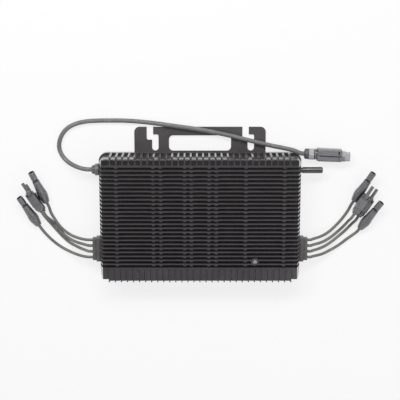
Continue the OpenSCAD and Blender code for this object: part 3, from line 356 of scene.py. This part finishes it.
def barrel_plastic(name, middle, axis):
    """Connector plastic with painted shade: a dark band round its groove and dark inside its
    opening.
    """
    mat = connector_plastic(name)
    tree = mat.node_tree
    offset = vectors(tree, "SUBTRACT", "Vector", {0: place_on_object(tree), 1: middle})
    along = vectors(tree, "DOT_PRODUCT", "Value", {0: offset, 1: axis})
    on_axis = vectors(tree, "SCALE", "Vector", {0: axis, "Scale": along})
    off_axis = vectors(tree, "DISTANCE", "Value", {0: offset, 1: on_axis})
    groove_shade = inside_from(tree, along, GROOVE_SHADE_START), inside_from(tree, along, GROOVE_SHADE_END)
    mouth_shade = inside_from(tree, along, MOUTH_START), inside_from(tree, off_axis, MOUTH_RADIUS)
    # Painted shade: a dark band round the groove and dark inside the opening
    paint(tree, grey(GROOVE_AND_MOUTH_SHADE_GREY), *groove_shade)
    paint(tree, grey(GROOVE_AND_MOUTH_SHADE_GREY), *mouth_shade)
    return mat


def lens_material():
    """Silvery light pipe under a clear gloss."""
    mat, tree, bsdf = new_material("indicator_lens")
    spots = spread(tree, noise(tree, 700), *USUAL_NOISE, 0, 1)
    tree.links.new(blend(tree, spots, *greys(118, 172)), bsdf.inputs["Base Color"])
    bsdf.inputs["Roughness"].default_value = 0.18
    bsdf.inputs["Coat Weight"].default_value = 1
    bsdf.inputs["Coat Roughness"].default_value = 0.06
    bump = add(tree, "ShaderNodeBump", {"Distance": 0.04 * MM, "Height": noise(tree, 1200, 2)})
    tree.links.new(bump.outputs["Normal"], bsdf.inputs["Normal"])
    return mat


# Materials given a crease reach carry painted shade in their creases and gaps, reach in millimetres
CASTING = casting_coat()
BRACKET = moulded(
    "bracket_coat", greys(67, 75, BRACKET_TINT), 0.5, grain=3200, grain_depth=0.04, blotch=40,
    bevel=0.3,
)
GLAND = moulded(
    "gland_plastic", greys(88, 101), 0.35, grain=2200, grain_depth=0.03, blotch=120, bevel=0.3,
    crease_shade=4,
)
MAINS_GLAND = moulded(
    "mains_gland", greys(104, 118), 0.35, grain=2200, grain_depth=0.03, blotch=120, bevel=0.3,
    crease_shade=3,
)
AERIAL = moulded(
    "aerial_rubber", greys(46, 58), 0.2, grain=1800, grain_depth=0.004, blotch=120, coat=1
)
MAINS_SHEATH = moulded(
    "mains_sheath", greys(106, 122), 0.36, grain=1500, grain_depth=0.03, blotch=90
)
LEAD_SHEATH = moulded(
    "lead_sheath", greys(105, 119, WARM), 0.34, grain=1500, grain_depth=0.03, blotch=90
)
CONNECTOR = connector_plastic("connector_plastic")
MAINS_PLUG = moulded(
    "mains_plug_plastic", greys(109, 123, COOL), 0.28, grain=2400, grain_depth=0.02, blotch=120,
    bevel=0.3, crease_shade=4, coat=0.7,
)
MAINS_NUT = moulded(
    "mains_nut_plastic", greys(166, 180, COOL), 0.35, grain=2400, grain_depth=0.02, blotch=120,
    bevel=0.3, crease_shade=3,
)
MAINS_INSERT = moulded(
    "mains_insert_plastic", greys(166, 180, COOL), 0.4, grain=2400, grain_depth=0.02, blotch=120,
    bevel=0.3,
)
BLACK_RUBBER = moulded(
    "black_rubber", greys(26, 36), 0.6, grain=2000, grain_depth=0.03, blotch=120
)
SEAL_RUBBER = moulded(
    "seal_rubber", greys(80, 96), 0.45, grain=2000, grain_depth=0.03, blotch=120
)
BLACK_PLASTIC = moulded(
    "black_plastic", greys(30, 40), 0.45, grain=2000, grain_depth=0.03, blotch=90
)
BOARD = moulded(
    "board_mask", ((0.02, 0.12, 0.05, 1), (0.03, 0.15, 0.07, 1)), 0.35, grain=1200,
    grain_depth=0.02, blotch=200, coat=0.3,
)
FERRITE = moulded("ferrite", greys(58, 72), 0.7, grain=3000, grain_depth=0.08, blotch=300)
POTTING = moulded("potting", greys(30, 38), 0.3, grain=300, grain_depth=0.1, blotch=60)
HEAT_PAD = moulded("heat_pad", greys(150, 165), 0.8, grain=1500, grain_depth=0.05, blotch=100)
FILM = moulded(
    "film_capacitor", ((0.62, 0.33, 0.05, 1), (0.7, 0.4, 0.08, 1)), 0.3, grain=500,
    grain_depth=0.02, blotch=90,
)
STEEL = metal("screw_steel", (0.58, 0.58, 0.6, 1), 0.35)
COPPER = metal("copper_wire", (0.7, 0.32, 0.15, 1), 0.3)
PLATED = metal("plated_contact", (0.8, 0.76, 0.66, 1), 0.25, crease_shade=8)
CAN = metal("capacitor_can", (0.6, 0.6, 0.62, 1), 0.4)
SHIELD = metal("radio_shield", (0.66, 0.66, 0.66, 1), 0.3)
BLACKENED = metal("blackened_neck", (0.1, 0.1, 0.1, 1), 0.35)
LENS = lens_material()

TRANSFORMERS = 4
NODE_MATERIALS = {
    "heatsink_housing": CASTING,
    "back_cover": CASTING,
    "cover_gasket": BLACK_RUBBER,
    "cover_screws": STEEL,
    "mounting_bracket": BRACKET,
    "bracket_screws": STEEL,
    "circuit_board": BOARD,
    "transformer_windings": COPPER,
    "input_capacitors": CAN,
    "output_capacitor": FILM,
    "line_choke": COPPER,
    "grid_relay": BLACK_PLASTIC,
    "power_transistors": BLACK_PLASTIC,
    "thermal_pad": HEAT_PAD,
    "radio_module": SHIELD,
    "potting_compound": POTTING,
    "indicator_lens": LENS,
    "ac_gland_body": MAINS_GLAND,
    "ac_gland_nut": MAINS_GLAND,
    "aerial_socket": BLACKENED,
    "aerial_sleeve": AERIAL,
    "dc_gland_left": GLAND,
    "dc_gland_right": GLAND,
    "ac_plug_seal": SEAL_RUBBER,
    "ac_plug_nut": MAINS_NUT,
    "ac_plug_body": MAINS_PLUG,
    "ac_plug_insert": MAINS_INSERT,
    "ac_plug_contacts": PLATED,
    "dc_pins": PLATED,
    "dc_sockets": PLATED,
}
for number in range(1, TRANSFORMERS + 1):
    NODE_MATERIALS[f"transformer_core_{number}"] = FERRITE
for number in range(1, LEADS_A_SIDE + 1):
    for side_name in ("left", "right"):
        NODE_MATERIALS[f"dc_connector_{side_name}_{number}"] = CONNECTOR
        NODE_MATERIALS[f"dc_cap_{side_name}_{number}"] = CONNECTOR

# The open barrels are the connectors with a socket, whose place the record gives
for mount in frame["record"]["mounts"]:
    if mount["name"].startswith("socket_"):
        which = mount["name"].removeprefix("socket_")
        barrel = barrel_plastic(f"barrel_plastic_{which}", mount["pos_m"], mount["axis"])
        NODE_MATERIALS[f"dc_connector_{which}"] = barrel

for name, mat in NODE_MATERIALS.items():
    for material_slot in frame["nodes"][name].material_slots:
        material_slot.material = mat


# Cords


def cord_curve(name, route, diameter, mat):
    """A round sheath along the route, straight at both ends, and its length."""
    data = bpy.data.curves.new(name, "CURVE")
    data.dimensions = "3D"
    data.bevel_depth = diameter / 2 * MM
    data.bevel_resolution = 6
    data.resolution_u = 8
    data.use_fill_caps = True
    spline = data.splines.new("BEZIER")
    points = spline.bezier_points
    points.add(len(route) - 1)
    for point, place in zip(points, route):
        point.co = Vector(place) * MM
        point.handle_left_type = point.handle_right_type = "AUTO"
    obj = bpy.data.objects.new(name, data)
    scene.collection.objects.link(obj)
    bpy.context.view_layer.update()
    straighten(points[0], points[1], True)
    straighten(points[-1], points[-2], False)
    data.materials.append(mat)
    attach(obj, "root")
    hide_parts(name)
    return obj, spline.calc_length()


def straighten(end, inner, at_start):
    """Makes the stretch from an end point to the next straight, and keeps the next bend smooth."""
    step = (inner.co - end.co) / 3
    onward = inner.handle_right if at_start else inner.handle_left
    away = inner.co + step.normalized() * (onward - inner.co).length
    near = inner.co - step
    for point in (end, inner):
        point.handle_left_type = point.handle_right_type = "FREE"
    if at_start:
        end.handle_left, end.handle_right = end.co - step, end.co + step
        inner.handle_left, inner.handle_right = near, away
    else:
        end.handle_left, end.handle_right = end.co + step, end.co - step
        inner.handle_left, inner.handle_right = away, near


mains, mains_length = cord_curve("ac_cable", AC_ROUTE, AC_DIAMETER, MAINS_SHEATH)
for side, side_name, leads in ((-1, "left", LEFT_LEADS), (1, "right", RIGHT_LEADS)):
    for number in range(1, LEADS_A_SIDE + 1):
        which = f"{side_name}_{number}"
        route = lead_route(side, leads, number)
        lead, lead_length = cord_curve(f"dc_lead_{which}", route, LEAD_DIAMETER, LEAD_SHEATH)


# Floor, light and world
WHITE = (1, 1, 1, 1)
FLOOR_HALF = 6
FLOOR_DROP = 0.3
FLOOR_COLOUR = (0.93, 0.93, 0.93, 1)
FLOOR_ROUGHNESS = 0.9
FLOOR_GLOW_SHARE = 0.75
SKY_LIGHT = 0.42
OVERHEAD_SEEN = 0.35
HORIZON_TO_OVERHEAD = (0.35, 0.9)


def seen_directly(tree):
    """1 for rays of the camera, and for those that gloss or clear pieces reflect or let through."""
    path = add(tree, "ShaderNodeLightPath").outputs
    seen = maths(tree, "MAXIMUM", path["Is Camera Ray"], path["Is Glossy Ray"])
    return maths(tree, "MAXIMUM", seen, path["Is Transmission Ray"])


def floor():
    """A white table that keeps a soft shadow of the object."""
    data = bpy.data.meshes.new("floor")
    corners = [(x * FLOOR_HALF, y * FLOOR_HALF, 0) for x, y in ((-1, -1), (1, -1), (1, 1), (-1, 1))]
    data.from_pydata(corners, [], [(0, 1, 2, 3)])
    obj = bpy.data.objects.new("floor", data)
    obj.location.z = -FLOOR_DROP * MM
    scene.collection.objects.link(obj)
    mat, tree, bsdf = new_material("floor")
    bsdf.inputs["Base Color"].default_value = FLOOR_COLOUR
    bsdf.inputs["Roughness"].default_value = FLOOR_ROUGHNESS
    glow = add(tree, "ShaderNodeEmission", {"Color": WHITE, "Strength": 1})
    share = spread(tree, seen_directly(tree), 0, 1, 0, FLOOR_GLOW_SHARE)
    mix = add(tree, "ShaderNodeMixShader", {"Fac": share})
    tree.links.new(bsdf.outputs["BSDF"], mix.inputs[1])
    tree.links.new(glow.outputs["Emission"], mix.inputs[2])
    tree.links.new(mix.outputs["Shader"], tree.nodes["Material Output"].inputs["Surface"])
    data.materials.append(mat)


def soft_light(name, place, width, height, power):
    """A soft light that looks at the middle of the object; lengths in metres, power in watts."""
    data = bpy.data.lights.new(name, "AREA")
    data.shape = "RECTANGLE"
    data.size = width
    data.size_y = height
    data.energy = power
    obj = bpy.data.objects.new(name, data)
    obj.location = place
    obj.rotation_euler = (-Vector(place)).to_track_quat("-Z", "Y").to_euler()
    scene.collection.objects.link(obj)


def world():
    """Even pale light; where it is seen, white round the horizon and greyer overhead."""
    back = bpy.data.worlds.new("world")
    back.use_nodes = True
    scene.world = back
    tree = back.node_tree
    direction = add(tree, "ShaderNodeTexCoord").outputs["Generated"]
    up = add(tree, "ShaderNodeSeparateXYZ", {"Vector": direction}).outputs["Z"]
    sky_seen = spread(tree, up, *HORIZON_TO_OVERHEAD, 1, OVERHEAD_SEEN)
    strength = spread(tree, seen_directly(tree), 0, 1, SKY_LIGHT, sky_seen)
    tree.nodes["Background"].inputs["Color"].default_value = WHITE
    tree.links.new(strength, tree.nodes["Background"].inputs["Strength"])


floor()
world()
soft_light("key", (-0.3, 1.15, 1.3), width=1.8, height=0.35, power=20)
soft_light("fill", (0.9, -0.4, 1.3), width=1.2, height=1.2, power=4)
